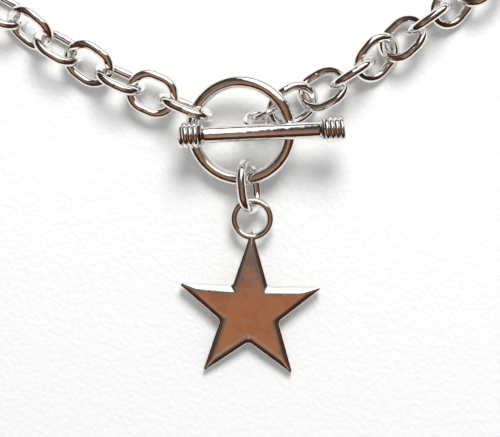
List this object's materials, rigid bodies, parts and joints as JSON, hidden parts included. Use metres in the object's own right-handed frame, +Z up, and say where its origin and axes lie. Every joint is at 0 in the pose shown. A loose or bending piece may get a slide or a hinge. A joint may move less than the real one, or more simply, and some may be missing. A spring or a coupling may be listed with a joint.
{
  "type": "star pendant on toggle necklace",
  "caption": "Star pendant that hangs by a link from the ring of a closed toggle clasp, on a heavy cable chain necklace lying flat in one loop.",
  "frame": {"origin": "under the middle of the whole necklace's box, on the surface that it lies on", "axes": "+Z up from the surface, -Y from the loop of chain towards the star, +X to the right seen from above with the star nearest"},
  "size_m": [0.133, 0.1752, 0.0098],
  "materials": {
    "silver": "polished sterling silver"
  },
  "bodies": {
    "root": {"star_pendant": "silver", "pendant_link": "silver", "toggle_ring": "silver", "toggle_bar": "silver", "bar_jump_ring": "silver", "ring_link": "silver", "chain_left": "silver", "chain_right": "silver"}
  },
  "joints": []
}
